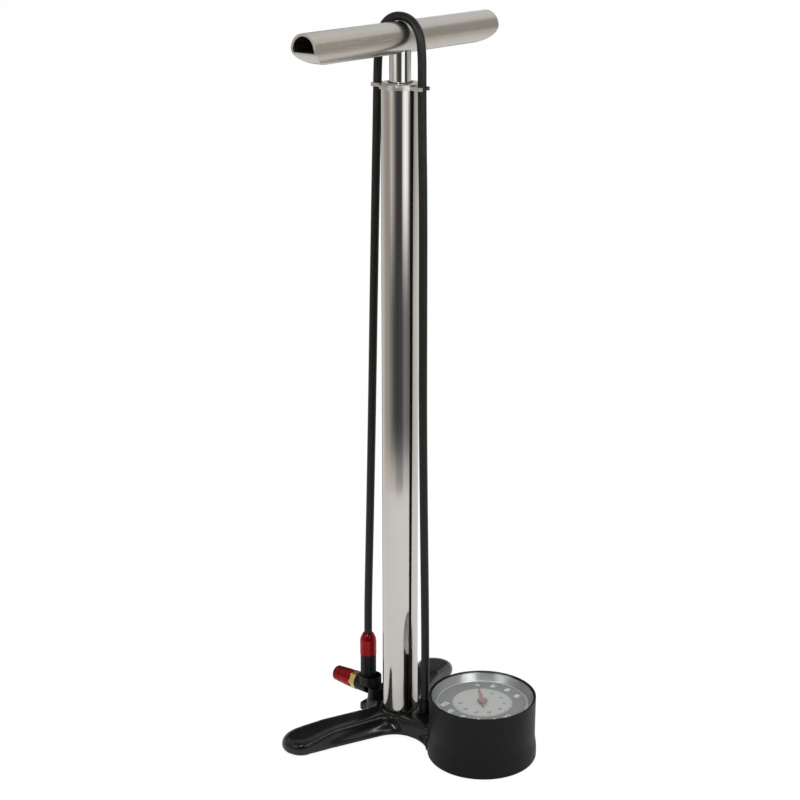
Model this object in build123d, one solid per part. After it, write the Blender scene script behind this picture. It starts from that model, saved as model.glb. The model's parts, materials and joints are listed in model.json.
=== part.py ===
from build123d import *
import math
import os

# Floor bike pump. Millimetres, +Z up. The origin is on the barrel's axis at the floor.
# The gauge leg points along -Y, the handle lies along X, and the chuck dock is at +Y.

# ---- driving dimensions -------------------------------------------------------------
# fits and clearances
RUN = 0.05              # radial running clearance of a shaft or seal in its bore
SEAT = 0.05             # radial clearance of pieces that are assembled and stay put
FREE = 0.3              # clearance between pieces that move past each other

# barrel
BARREL_OD = 32.0
BARREL_WALL = 2.0
BARREL_LENGTH = 570.0

# base casting
UNDERSIDE = 1.5         # height of the casting's underside above the floor
HUB_TOP = 17.0          # height of the hub's deck
SOCKET_DEPTH = 6.0      # how deep the barrel's socket goes below the deck
FOOT_REACH = 101.8      # from the barrel's axis to the centre of a foot
FOOT_ANGLE = 110.6      # between the gauge leg and a foot, on either side
FOOT_R = 17.3           # radius of a foot at its flange
FOOT_DECK_R = 16.8      # radius of a foot at its deck
NECK_REACH = 78.0       # where a leg is narrowest against its foot
NECK_DECK_R = 13.4      # the deck's half width there
NECK_FLANGE_R = 17.3    # and the flange's
HUB_FLANGE_R = 21.0     # the legs' half width at the hub, at the flange
HUB_DECK_R = 19.5       # radius of the deck round the barrel
LEG_DECK_R = 10.5       # the legs' half width at the hub, at the deck
WEB_R = 24.0            # radius between two legs at the flange
DECK_WEB_R = 16.0       # radius between two legs at the deck
FLANGE_T = 7.0          # thickness of the flange under the deck
FLANGE_CHAMFER = 4.5
DECK_FILLET = 3.2       # rounding of the deck's upper edge
FALL_START = 26.0       # the deck falls towards the feet from here, before a foot's centre
FALL_TIP = 6.0          # how far it has fallen a foot's radius beyond that centre
FRONT_DECK_R = 18.5     # half width of the gauge leg's deck
FRONT_FLANGE_R = 19.0   # half width of the gauge leg's flange
FRONT_WEB_R = 45.0      # radius of its sides where they spread round the gauge
FLANGE_LAP = 0.4        # how far that outline runs under the gauge's flared foot
POCKET_R = 6.0          # half width of the hollow under a leg
POCKET_START = 34.0
POCKET_END = 80.0
DECK_WALL = 4.0         # wall left above that hollow
AIR_BORE = 3.0          # air passage through the casting
AIR_Z = 8.0             # height of that passage's axis

# rubber feet
PAD_R = 13.0
PAD_T = 3.0
GAUGE_FOOT_R = 38.0
GAUGE_FOOT_WIDTH = 9.0

# gasket under the barrel
GASKET_T = 1.0

# check valve
VALVE_STEM_R = 5.0
VALVE_BOTTOM = 5.0
VALVE_HEX = 15.0
VALVE_HEX_T = 4.0
VALVE_BODY_R = 6.2
VALVE_BODY_TOP = 21.0
VALVE_SEAT_T = 3.5
VALVE_HOLE_R = 1.7
VALVE_LEDGE_T = 1.5
BALL_R = 2.6
SPRING_WIRE = 0.6
SPRING_TURNS = 4

# cap, bushing and hose hanger
HANGER_T = 3.0
HANGER_RING_R = 17.5
HANGER_ARM = 2.6        # width of the two arms beside a hose
HANGER_REACH = 27.0     # from the axis to the arms' tips
CAP_HEAD_T = 2.0
CAP_CHAMFER = 0.8
CAP_SKIRT = 22.0        # length of the cap inside the barrel
BUSH_WALL = 1.45
BUSH_LENGTH = 20.0
WIPER_STAND = 0.4       # how far the wiper stands above the cap

# rod and handle
ROD_OD = 18.0
ROD_WALL = 2.0
HANDLE_GAP = 23.3       # from the cap's top to the handle's underside
HANDLE_OD = 26.2
HANDLE_HALF = 116.4     # from the rod's axis to the handle's end
HANDLE_WALL = 2.2
HANDLE_FLOOR = -2.1     # height of the hollow's flat floor from the handle's axis
HANDLE_SWEEP = 26.0     # length of the swept-away lower corner
HANDLE_SWEEP_TOP = 2.0  # where the sweep starts, from the handle's axis
ROD_SEAT = 3.2          # depth of the rod's flat seat in the handle
STUD_R = 5.0

# piston
PISTON_Z = 31.0         # underside of the washer when the handle is down
PISTON_WASHER_T = 1.5
PISTON_WASHER_R = 10.0
PISTON_LENGTH = 17.4
PISTON_LAND = 3.4       # land below the seal
SEAL_LENGTH = 7.0
SEAL_R_IN = 11.0
SEAL_LIP = 4.0          # depth of the cup in the seal's lower face
SPIGOT_R = 5.0
PLUG_FLANGE_T = 2.0
PLUG_LENGTH = 18.0
BOLT_R = 3.0
BOLT_HEX = 10.0
BOLT_HEAD_T = 3.0
BOLT_LENGTH = 20.0
BUMPER_T = 8.0

# gauge
GAUGE_Y = -94.3
CUP_R = 47.1
CUP_HEIGHT = 59.0
CUP_BOTTOM = 1.0        # the cup's underside, carried by its rubber foot
CUP_WAIST = 46.9        # radius just above the flared foot
CUP_FLARE = 48.3        # radius of the flared foot
CUP_FLARE_Z = 9.0
CUP_WAIST_Z = 24.0
CUP_ROUND = 3.0         # radius of the lower edge
CUP_WALL = 1.6
CUP_FLOOR_T = 2.5
DIAL_DEPTH = 8.4        # from the rim down to the dial
DIAL_T = 0.8
BEZEL_IN_R = 40.0
LENS_T = 1.5
LENS_DEPTH = 0.3        # from the rim down to the lens
SOCKET_W = 12.0         # the gauge's brass block, square
SOCKET_H = 28.0
BOURDON_R = 27.0
BOURDON_TUBE_R = 3.0
BOURDON_SWEEP = 235.0
PLATE_R = 15.0
PLATE_T = 1.5
PLATE_GAP = 9.0         # between the movement's two plates
PILLAR_R = 1.8
PILLAR_INSET = 3.4      # from the plate's edge to a pillar's axis
SPINDLE_R = 1.0
NEEDLE_LENGTH = 31.0
NEEDLE_TAIL = 9.0
NEEDLE_HUB_R = 3.4
NEEDLE_T = 0.8
NEEDLE_ABOVE = 1.4      # from the dial up to the needle
NEEDLE_ZERO = 45.0      # where the needle points at zero pressure, from +X
STEM_R = 2.8
SCREW_R = 2.0
SCREW_HEAD_R = 3.6
SCREW_HEAD_T = 2.4
SCREW_GRIP = 9.0        # how far a gauge screw goes into the casting
SCREW_X = 11.0

# hose and its port
HOSE_OD = 7.3
PORT_Y = -29.5
PORT_HEX = 12.0
PORT_HEX_T = 3.0
PORT_FERRULE_R = 5.0
PORT_FERRULE_T = 13.0
PORT_THREAD_R = 4.0
PORT_THREAD = 8.0
HOSE_END_Z = 64.0       # where the hose ends, inside its collar

# chuck, parked on the dock post
CHUCK_Y = 38.4
DOCK_Y = 28.5
DOCK_R = 8.2
DOCK_TOP = 27.5
LUG_HALF = 6.0          # half width of the casting's lug beside the dock
LUG_REACH = 14.8        # how far the lug goes past the dock's axis
LUG_T = 7.0
LUG_CORNER = 1.5
LUG_WEB_R = 6.0         # radius between the dock's seat and the hub
DOCK_SPIGOT_R = 4.0
DOCK_SPIGOT = 6.0
TONGUE_W = 7.0          # head of the chuck's T-shaped tongue
TONGUE_T = 2.4
TONGUE_NECK = 3.8
TONGUE_H = 8.0
CHUCK_Z = 26.0          # height of the nozzle's axis
CHUCK_BOSS_R = 8.0
CHUCK_FACE_Y = 50.0     # face that the brass adapter seats on
CHUCK_RING_R = 8.8
CHUCK_RING_REACH = 4.4   # how far the ring runs towards the barrel from the sleeve
CHUCK_RING_Z = 28.0
CHUCK_TOP = 37.0
SLEEVE_R = 7.25
SLEEVE_PLAY = 0.4       # clearance round the sleeve in the chuck's ring
SLEEVE_TOP = 58.3
SLEEVE_SEAT = 31.0
COLLAR_R = 7.6
COLLAR_NECK_R = 4.7     # radius of the collar's top, round the hose
COLLAR_SHOULDER = 8.5   # height of its rounded shoulder
COLLAR_TOP = 78.7
HEX_AF = 14.6
HEX_T = 6.5
NOZZLE_R = 8.1
NOZZLE_LENGTH = 21.6
NOZZLE_TIP_R = 6.9      # radius of the nozzle's tip
NOZZLE_TAPER = 15.6     # length of its tapered part
NOZZLE_GROOVES = (0.45, 0.78)   # the two grooves, as shares of the tapered part
VALVE_SOCKET_R = 3.95
VALVE_SOCKET_DEPTH = 9.0
NOZZLE_GROOVE = 0.5     # depth of the grooves
GLAND_T = 2.5
ADAPTER_SPIGOT_R = 4.5
ADAPTER_SPIGOT = 5.0

# ---- worked out from them -----------------------------------------------------------
BARREL_R = BARREL_OD / 2
BARREL_IN = BARREL_R - BARREL_WALL
SOCKET_Z = HUB_TOP - SOCKET_DEPTH
BARREL_Z = SOCKET_Z + GASKET_T
BARREL_TOP = BARREL_Z + BARREL_LENGTH
HANGER_TOP = BARREL_TOP + HANGER_T
CAP_TOP = HANGER_TOP + CAP_HEAD_T
CAP_BOTTOM = HANGER_TOP - CAP_SKIRT
ROD_R = ROD_OD / 2
ROD_IN = ROD_R - ROD_WALL
BUSH_R = ROD_R + RUN + BUSH_WALL
HANDLE_R = HANDLE_OD / 2
HANDLE_Z = CAP_TOP + HANDLE_GAP + HANDLE_R
ROD_TOP = HANDLE_Z - HANDLE_R + ROD_SEAT
HANDLE_FLOOR_Z = HANDLE_Z + HANDLE_FLOOR
HEAD_Z = PISTON_Z + PISTON_WASHER_T + SEAT
HEAD_TOP = HEAD_Z + PISTON_LENGTH
SEAL_Z = HEAD_Z + PISTON_LAND
ROD_Z = HEAD_TOP + SEAT + PLUG_FLANGE_T
HOSE_R = HOSE_OD / 2
CUP_IN = CUP_R - CUP_WALL
DIAL_Z = CUP_HEIGHT - DIAL_DEPTH
LENS_TOP = CUP_HEIGHT - LENS_DEPTH
LENS_Z = LENS_TOP - LENS_T
CUP_FLOOR = CUP_BOTTOM + CUP_FLOOR_T
PORT_TOP = HUB_TOP + PORT_HEX_T + PORT_FERRULE_T
CHAMBER_R = BALL_R + FREE
CHAMBER_Z = AIR_Z + AIR_BORE / 2 + VALVE_LEDGE_T
# the ball touches the lower edge of the seat's hole
BALL_Z = VALVE_BODY_TOP - math.sqrt(BALL_R ** 2 - VALVE_HOLE_R ** 2) - SEAT
SOCKET_TOP = CUP_FLOOR + SOCKET_H
PLATE_TOP = SOCKET_TOP + 2 * PLATE_T + PLATE_GAP
TONGUE_Y = DOCK_Y + DOCK_R - 2 * TONGUE_T - 1.0     # the tongue's inner face
TONGUE_Z = DOCK_TOP - TONGUE_H
CHUCK_BACK_Y = DOCK_Y + DOCK_R + FREE
GLAND_R = ADAPTER_SPIGOT_R + RUN
NOZZLE_Y = CHUCK_FACE_Y + HEX_T + RUN
NOZZLE_END = NOZZLE_Y + NOZZLE_LENGTH
NOZZLE_SPIGOT = NOZZLE_LENGTH - VALVE_SOCKET_DEPTH - GLAND_T - 1.0
FEET = {"left": 270 - FOOT_ANGLE, "right": 270 + FOOT_ANGLE}
MIN = (Align.CENTER, Align.CENTER, Align.MIN)
FROM_Y = (Align.CENTER, Align.MIN, Align.MIN)
AT_GAUGE = Pos(0, GAUGE_Y, 0)


# ---- helpers ------------------------------------------------------------------------
def rod(radius, z0, z1, x=0, y=0):
    """An upright cylinder from z0 to z1."""
    return Pos(x, y, z0) * Cylinder(radius, z1 - z0, align=MIN)


def ring(r_out, r_in, z0, z1, x=0, y=0):
    """An upright ring from z0 to z1."""
    return rod(r_out, z0, z1, x, y) - rod(r_in, z0 - 1, z1 + 1, x, y)


def bar_y(radius, y0, y1, z, x=0):
    """A cylinder along Y from y0 to y1."""
    return Pos(x, y0, z) * Rot(-90, 0, 0) * Cylinder(radius, y1 - y0, align=MIN)


def hexagon(across, z0, z1):
    """An upright hexagonal prism, given its size across the flats."""
    return Pos(0, 0, z0) * extrude(RegularPolygon(across / math.sqrt(3), 6), z1 - z0)


def turned(points):
    """A solid of revolution about Z from (radius, height) corners."""
    return revolve(Plane.XZ * make_face(Polyline(*points, close=True)), Axis.Z)


def polar(radius, degrees):
    """The point at this distance and angle from the barrel's axis."""
    a = math.radians(degrees)
    return radius * math.cos(a), radius * math.sin(a)


def hull(first, second):
    """The outline round two circles, each (x, y, radius)."""
    edges = []
    for (x, y, radius), (to_x, to_y, _) in ((first, second), (second, first)):
        # each circle's seam faces the other circle, inside the outline
        towards = math.degrees(math.atan2(to_y - y, to_x - x))
        edges += (Pos(x, y) * Rot(0, 0, towards) * Circle(radius)).edges()
    return make_hull(edges)


def closed(sketch, radius):
    """The sketch with its inner corners rounded to the radius."""
    return offset(offset(sketch, radius), -radius)


def rim_edges(solid):
    """The edges round a solid's whole upper surface, without those inside it."""
    edges = []
    for face in solid.faces().filter_by(lambda face: face.normal_at().Z > 0.5):
        edges += face.edges()
    return [edge for edge in edges if sum(edge.is_same(other) for other in edges) == 1]


# ---- base ---------------------------------------------------------------------------
def base_plan(front, foot_r, neck_r, leg_r, web_r):
    """A plan of the casting at one level: the gauge leg and two legs with their feet."""
    plan = front
    for angle in FEET.values():
        neck = (*polar(NECK_REACH, angle), neck_r)
        plan += hull((0, 0, leg_r), neck)
        plan += hull(neck, (*polar(FOOT_REACH, angle), foot_r))
    return closed(plan, web_r)


def base_casting():
    saddle = CUP_FLARE + SEAT
    front_y = GAUGE_Y + saddle
    front = hull((0, 0, HUB_FLANGE_R), (0, front_y, FRONT_FLANGE_R))
    front = closed(front + AT_GAUGE * Circle(saddle - FLANGE_LAP), FRONT_WEB_R)
    flange = base_plan(front, FOOT_R, NECK_FLANGE_R, HUB_FLANGE_R, WEB_R)
    flange = extrude(flange, FLANGE_T)
    flange = chamfer(flange.faces().sort_by(Axis.Z)[-1].edges(), FLANGE_CHAMFER)
    lug = Pos(0, 0, LUG_T / 2) * Box(
        2 * LUG_HALF, DOCK_Y + LUG_REACH, LUG_T, align=(Align.CENTER, Align.MIN, Align.CENTER)
    )
    flange += fillet(lug.edges().filter_by(Axis.Z).sort_by(Axis.Y)[-2:], LUG_CORNER)
    front = hull((0, 0, HUB_DECK_R), (0, front_y, FRONT_DECK_R))
    deck = base_plan(front, FOOT_DECK_R, NECK_DECK_R, LEG_DECK_R, DECK_WEB_R)
    deck += hull((0, 0, DOCK_R), (0, DOCK_Y, DOCK_R))
    deck = extrude(closed(deck, LUG_WEB_R), HUB_TOP - UNDERSIDE)
    start = FOOT_REACH - FALL_START
    tip = FOOT_REACH + FOOT_R
    level = HUB_TOP - UNDERSIDE
    deck -= turned([
        (start, level),
        (tip, level - FALL_TIP),
        (tip, 2 * HUB_TOP),
        (start, 2 * HUB_TOP),
    ])
    deck = fillet(rim_edges(deck), DECK_FILLET)
    casting = Pos(0, 0, UNDERSIDE) * (flange + deck)
    casting -= AT_GAUGE * Cylinder(saddle, 4 * HUB_TOP)
    casting -= rod(BARREL_R + SEAT, SOCKET_Z, HUB_TOP + 1)
    for angle in FEET.values():
        casting -= rod(PAD_R + SEAT, 0, PAD_T, *polar(FOOT_REACH, angle))
        pocket = hull(
            (*polar(POCKET_START, angle), POCKET_R), (*polar(POCKET_END, angle), POCKET_R)
        )
        casting -= extrude(pocket, HUB_TOP - DECK_WALL)
    # air passage: valve chamber, drilling along the gauge leg, and the hose port's thread
    casting -= rod(VALVE_STEM_R + SEAT, VALVE_BOTTOM, SOCKET_Z + 1)
    casting -= bar_y(AIR_BORE / 2, front_y - 1, 0, AIR_Z)
    casting -= bar_y(STEM_R + SEAT, front_y - 1, front_y + STEM_R, AIR_Z)
    casting -= rod(AIR_BORE / 2, AIR_Z, HUB_TOP, 0, PORT_Y)
    casting -= rod(PORT_THREAD_R + SEAT, HUB_TOP - PORT_THREAD, HUB_TOP + 1, 0, PORT_Y)
    for x in (-SCREW_X, SCREW_X):
        casting -= bar_y(SCREW_R + SEAT, front_y - 5, front_y + SCREW_GRIP, AIR_Z, x)
    casting -= rod(DOCK_SPIGOT_R + SEAT, HUB_TOP - DOCK_SPIGOT, HUB_TOP + 1, 0, DOCK_Y)
    casting -= rod(SCREW_R + SEAT, 0, HUB_TOP, 0, DOCK_Y)
    casting -= rod(SCREW_HEAD_R + SEAT, 0, UNDERSIDE + SCREW_HEAD_T, 0, DOCK_Y)
    return casting


def foot_pad(angle):
    pad = rod(PAD_R, 0, PAD_T, *polar(FOOT_REACH, angle))
    return chamfer(pad.faces().sort_by(Axis.Z)[0].edges(), 0.6)


def gauge_foot():
    return AT_GAUGE * ring(GAUGE_FOOT_R, GAUGE_FOOT_R - GAUGE_FOOT_WIDTH, 0, CUP_BOTTOM)


def barrel_tube():
    return ring(BARREL_R, BARREL_IN, BARREL_Z, BARREL_TOP)


def barrel_gasket():
    return ring(BARREL_R - SEAT, BARREL_IN, SOCKET_Z, BARREL_Z)


# ---- check valve --------------------------------------------------------------------
def check_valve_body():
    body = rod(VALVE_STEM_R, VALVE_BOTTOM, SOCKET_Z)
    body += hexagon(VALVE_HEX, SOCKET_Z, SOCKET_Z + VALVE_HEX_T)
    body += rod(VALVE_BODY_R, SOCKET_Z + VALVE_HEX_T, VALVE_BODY_TOP)
    body -= rod(CHAMBER_R, CHAMBER_Z, VALVE_BODY_TOP + 1)
    body -= rod(AIR_BORE / 2, AIR_Z, CHAMBER_Z + 1)
    body -= bar_y(AIR_BORE / 2, -BARREL_R, 0, AIR_Z)
    return body


def check_valve_seat():
    return ring(VALVE_BODY_R, VALVE_HOLE_R, VALVE_BODY_TOP, VALVE_BODY_TOP + VALVE_SEAT_T)


def check_ball():
    return Pos(0, 0, BALL_Z) * Sphere(BALL_R)


def check_spring():
    coil_r = BALL_R - SPRING_WIRE
    low = CHAMBER_Z + SPRING_WIRE / 2 + SEAT
    height = BALL_Z - math.sqrt(BALL_R ** 2 - coil_r ** 2) - SPRING_WIRE - low
    path = Helix(height / SPRING_TURNS, height, coil_r)
    section = Plane(origin=path @ 0, z_dir=path % 0) * Circle(SPRING_WIRE / 2)
    return Pos(0, 0, low) * sweep(section, path)


# ---- barrel head --------------------------------------------------------------------
def hose_crossings(height):
    """Where the hose's two legs cross a height, as (front y, back y)."""
    found = []
    for (y0, z0), (y1, z1) in zip(ROUTE, ROUTE[1:]):
        if min(z0, z1) <= height < max(z0, z1):
            found.append(y0 + (y1 - y0) * (height - z0) / (z1 - z0))
    return found[0], found[-1]


def hose_hanger():
    middle = BARREL_TOP + HANGER_T / 2
    slot = HOSE_R + FREE
    ears = Rectangle(2 * (slot + HANGER_ARM), 2 * HANGER_REACH)
    ears = fillet(ears.vertices(), HANGER_ARM / 2)
    plan = closed(ears + Circle(HANGER_RING_R), 2)
    for y in hose_crossings(middle):
        plan -= hull((0, y, slot), (0, y + math.copysign(HANGER_REACH, y), slot))
    plan -= Circle(BARREL_IN + SEAT)
    return Pos(0, 0, BARREL_TOP) * extrude(plan, HANGER_T)


def top_cap():
    head = rod(BARREL_R, HANGER_TOP, CAP_TOP)
    head = chamfer(head.faces().sort_by(Axis.Z)[-1].edges(), CAP_CHAMFER)
    cap = head + rod(BARREL_IN - SEAT, CAP_BOTTOM, HANGER_TOP)
    cap -= rod(BUSH_R + SEAT, CAP_BOTTOM + BUSH_WALL, CAP_TOP + 1)
    return cap - rod(ROD_R + FREE, CAP_BOTTOM - 1, CAP_TOP + 1)


def rod_bushing():
    low = CAP_BOTTOM + BUSH_WALL
    return ring(BUSH_R, ROD_R + RUN, low, low + BUSH_LENGTH)


def rod_wiper():
    low = CAP_BOTTOM + BUSH_WALL + BUSH_LENGTH
    return ring(BUSH_R, ROD_R + RUN, low, CAP_TOP + WIPER_STAND)


# ---- piston, rod and handle ---------------------------------------------------------
def piston_head():
    head = ring(BARREL_IN - FREE, SPIGOT_R + RUN, HEAD_Z, HEAD_TOP)
    return head - ring(BARREL_R, SEAL_R_IN, SEAL_Z, SEAL_Z + SEAL_LENGTH)


def piston_seal():
    middle = (SEAL_R_IN + BARREL_IN) / 2
    seal = ring(BARREL_IN - RUN, SEAL_R_IN + SEAT, SEAL_Z + SEAT, SEAL_Z + SEAL_LENGTH - SEAT)
    return seal - ring(middle + 0.5, middle - 0.5, SEAL_Z, SEAL_Z + SEAL_LIP)


def piston_bumper():
    return ring(BARREL_IN - FREE - 0.5, ROD_R + FREE, HEAD_TOP, HEAD_TOP + BUMPER_T)


def piston_washer():
    return ring(PISTON_WASHER_R, BOLT_R + SEAT, PISTON_Z, PISTON_Z + PISTON_WASHER_T)


def piston_bolt():
    bolt = hexagon(BOLT_HEX, PISTON_Z - BOLT_HEAD_T, PISTON_Z)
    return bolt + rod(BOLT_R, PISTON_Z, PISTON_Z + BOLT_LENGTH)


def rod_bottom_plug():
    plug = rod(SPIGOT_R, PISTON_Z + PISTON_WASHER_T, HEAD_TOP + SEAT)
    plug += rod(ROD_R, HEAD_TOP + SEAT, ROD_Z)
    plug += rod(ROD_IN - SEAT, ROD_Z, ROD_Z + PLUG_LENGTH)
    return plug - rod(BOLT_R + SEAT, PISTON_Z, PISTON_Z + BOLT_LENGTH + 1)


def piston_rod():
    return ring(ROD_R, ROD_IN, ROD_Z, ROD_TOP)


def rod_top_plug():
    plug = rod(ROD_IN - SEAT, ROD_TOP - PLUG_LENGTH, ROD_TOP)
    return plug + rod(STUD_R, ROD_TOP, HANDLE_FLOOR_Z - 1)


def handle_end_cut(side):
    """What an end cut takes away: a swept lower corner under an upright edge."""
    low = HANDLE_SWEEP_TOP + HANDLE_R
    sweep_arc = EllipticalCenterArc(
        (HANDLE_HALF - HANDLE_SWEEP, HANDLE_SWEEP_TOP), HANDLE_SWEEP, low, -90, arc_size=90
    )
    far = HANDLE_HALF + HANDLE_OD
    outline = [
        (HANDLE_HALF, HANDLE_SWEEP_TOP),
        (far, HANDLE_SWEEP_TOP),
        (far, -HANDLE_OD),
        (HANDLE_HALF - HANDLE_SWEEP, -HANDLE_OD),
        (HANDLE_HALF - HANDLE_SWEEP, HANDLE_SWEEP_TOP - low),
    ]
    face = make_face(sweep_arc + Polyline(*outline))
    cut = extrude(Plane.XZ * face, HANDLE_R + 1, both=True)
    return cut if side > 0 else mirror(cut, Plane.YZ)


def handle():
    inner = Circle(HANDLE_R - HANDLE_WALL) & (
        Pos(0, HANDLE_FLOOR) * Rectangle(HANDLE_OD, HANDLE_OD, align=(Align.CENTER, Align.MIN))
    )
    inner = fillet(inner.vertices(), 1.0)
    bar = extrude(Plane.YZ * (Circle(HANDLE_R) - inner), HANDLE_HALF, both=True)
    bar -= handle_end_cut(1)
    bar -= handle_end_cut(-1)
    bar = Pos(0, 0, HANDLE_Z) * bar
    bar -= rod(ROD_R + SEAT, HANDLE_Z - HANDLE_R - 1, ROD_TOP)
    return bar - rod(STUD_R + SEAT, ROD_TOP - 1, HANDLE_FLOOR_Z - 1)


# ---- gauge --------------------------------------------------------------------------
def gauge_cup():
    k = CUP_ROUND * (1 - math.sqrt(0.5))
    outer = make_face(
        Line((0, CUP_BOTTOM), (CUP_FLARE - CUP_ROUND, CUP_BOTTOM))
        + ThreePointArc(
            (CUP_FLARE - CUP_ROUND, CUP_BOTTOM),
            (CUP_FLARE - k, CUP_BOTTOM + k),
            (CUP_FLARE, CUP_BOTTOM + CUP_ROUND),
        )
        + Line((CUP_FLARE, CUP_BOTTOM + CUP_ROUND), (CUP_FLARE, CUP_FLARE_Z))
        + Spline(
            (CUP_FLARE, CUP_FLARE_Z), (CUP_WAIST, CUP_WAIST_Z), tangents=[(0, 1), (0, 1)]
        )
        + Polyline(
            (CUP_WAIST, CUP_WAIST_Z),
            (CUP_R, CUP_HEIGHT),
            (0, CUP_HEIGHT),
            (0, CUP_BOTTOM),
        )
    )
    cup = revolve(Plane.XZ * outer, Axis.Z)
    inner_r = CUP_WAIST - 2 * CUP_WALL
    cup -= rod(inner_r, CUP_FLOOR, CUP_HEIGHT + 1)
    cup -= rod(CUP_IN, DIAL_Z - DIAL_T, CUP_HEIGHT + 1)
    cup = AT_GAUGE * cup
    cup -= bar_y(STEM_R + SEAT, GAUGE_Y, 0, AIR_Z)
    for x in (-SCREW_X, SCREW_X):
        cup -= bar_y(SCREW_R + SEAT, GAUGE_Y, 0, AIR_Z, x)
    return cup


def gauge_bezel():
    outer = CUP_IN - SEAT
    return AT_GAUGE * turned([
        (BEZEL_IN_R, DIAL_Z),
        (outer, DIAL_Z),
        (outer, LENS_Z),
        (outer - 0.7, LENS_Z),
        (BEZEL_IN_R, DIAL_Z + 0.5),
    ])


def gauge_lens():
    return AT_GAUGE * rod(CUP_IN - SEAT, LENS_Z, LENS_TOP)


def gauge_dial():
    dial = rod(CUP_IN - SEAT, DIAL_Z - DIAL_T, DIAL_Z)
    return AT_GAUGE * (dial - rod(SPINDLE_R + FREE, DIAL_Z - DIAL_T - 1, DIAL_Z + 1))


def gauge_socket():
    block = Pos(0, GAUGE_Y + BOURDON_R, CUP_FLOOR) * Box(SOCKET_W, SOCKET_W, SOCKET_H, align=MIN)
    stem_end = GAUGE_Y + CUP_FLARE + SEAT + STEM_R
    block += bar_y(STEM_R, GAUGE_Y + BOURDON_R, stem_end, AIR_Z)
    return block - bar_y(AIR_BORE / 4, GAUGE_Y + BOURDON_R, stem_end + 1, AIR_Z)


def bourdon_tube():
    start = 90 + math.degrees(math.asin(SOCKET_W / 2 / (BOURDON_R - BOURDON_TUBE_R)))
    path = CenterArc((0, GAUGE_Y, SOCKET_TOP - 2 * BOURDON_TUBE_R), BOURDON_R, start, BOURDON_SWEEP)
    section = Plane(origin=path @ 0, z_dir=path % 0) * Circle(BOURDON_TUBE_R)
    return sweep(section, path)


def gauge_movement():
    low = SOCKET_TOP
    plates = extrude(hull((0, 0, PLATE_R), (0, BOURDON_R, SOCKET_W / 2)), PLATE_T)
    frame = Pos(0, 0, low) * plates
    frame += rod(PLATE_R, PLATE_TOP - PLATE_T, PLATE_TOP)
    for angle in (30, 150, 270):
        frame += rod(PILLAR_R, low, DIAL_Z - DIAL_T, *polar(PLATE_R - PILLAR_INSET, angle))
    frame -= rod(SPINDLE_R + RUN, low - 1, PLATE_TOP + 1)
    return AT_GAUGE * frame


def gauge_spindle():
    top = DIAL_Z + NEEDLE_ABOVE + NEEDLE_T
    spindle = rod(SPINDLE_R, SOCKET_TOP, top)
    collar = SOCKET_TOP + PLATE_T + FREE
    return AT_GAUGE * (spindle + rod(2 * SPINDLE_R, collar, collar + PLATE_GAP - 2 * FREE))


def gauge_needle():
    hub = Circle(NEEDLE_HUB_R) - Circle(SPINDLE_R)
    blade = make_face(Polyline(
        (NEEDLE_LENGTH, 0),
        (NEEDLE_HUB_R, NEEDLE_HUB_R / 2),
        (-NEEDLE_TAIL, NEEDLE_HUB_R / 3),
        (-NEEDLE_TAIL, -NEEDLE_HUB_R / 3),
        (NEEDLE_HUB_R, -NEEDLE_HUB_R / 2),
        close=True,
    ))
    plan = Rot(0, 0, NEEDLE_ZERO) * (hub + (blade - Circle(SPINDLE_R)))
    return AT_GAUGE * Pos(0, 0, DIAL_Z + NEEDLE_ABOVE) * extrude(plan, NEEDLE_T)


def gauge_screws():
    screws = []
    face = GAUGE_Y + math.sqrt((CUP_WAIST - 2 * CUP_WALL) ** 2 - (SCREW_X + SCREW_HEAD_R) ** 2)
    tip = GAUGE_Y + CUP_FLARE + SCREW_GRIP - 1.5
    for x in (-SCREW_X, SCREW_X):
        screw = bar_y(SCREW_R, face, tip, AIR_Z, x)
        screws.append(screw + bar_y(SCREW_HEAD_R, face - SCREW_HEAD_T, face, AIR_Z, x))
    return Compound(screws)


# ---- hose ---------------------------------------------------------------------------
# (y, share of the handle's height) of the hose's route in the plane x = 0, up and down
FRONT_LEG = [
    (-28.1, 0.1957),
    (-26.2, 0.3401),
    (-24.8, 0.4860),
    (-24.7, 0.6336),
    (-24.2, 0.7812),
    (-23.0, 0.8662),
    (-22.6, 0.9384),
]
# (y, z) from the handle's axis, round the handle
LOOP = [
    (-23.0, -12.4),
    (-19.0, 5.5),
    (-7.6, 17.2),
    (8.7, 17.2),
    (20.3, 5.5),
    (24.2, -16.4),
]
BACK_LEG = [
    (25.2, 0.8983),
    (28.0, 0.7812),
    (30.6, 0.6336),
    (33.0, 0.4860),
    (35.7, 0.3401),
    (38.1, 0.2085),
]
PORT_RUN = 42.0         # straight run out of the port
END_RUN = 31.0          # straight run into the chuck's collar
ROUTE = [
    (PORT_Y, HUB_TOP + PORT_HEX_T),
    (PORT_Y, HUB_TOP + PORT_HEX_T + PORT_RUN),
    *((y, share * HANDLE_Z) for y, share in FRONT_LEG),
    *((y, HANDLE_Z + z) for y, z in LOOP),
    *((y, share * HANDLE_Z) for y, share in BACK_LEG),
    (CHUCK_Y, HOSE_END_Z + END_RUN),
    (CHUCK_Y, HOSE_END_Z),
]


def hose_radii(points):
    """Each corner's radius: 0.45 of its shorter run over the tangent of half its turn."""
    radii = []
    for a, b, c in zip(points, points[1:], points[2:]):
        before = Vector(b) - Vector(a)
        after = Vector(c) - Vector(b)
        half = math.radians(before.get_angle(after)) / 2
        radii.append(0.45 * min(before.length, after.length) / math.tan(half))
    return radii


def hose():
    points = [(0, y, z) for y, z in ROUTE]
    radii = hose_radii(points)
    path = FilletPolyline(*points, radius=radii)
    section = Plane(origin=path @ 0, z_dir=path % 0) * Circle(HOSE_R)
    return sweep(section, path)


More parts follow.
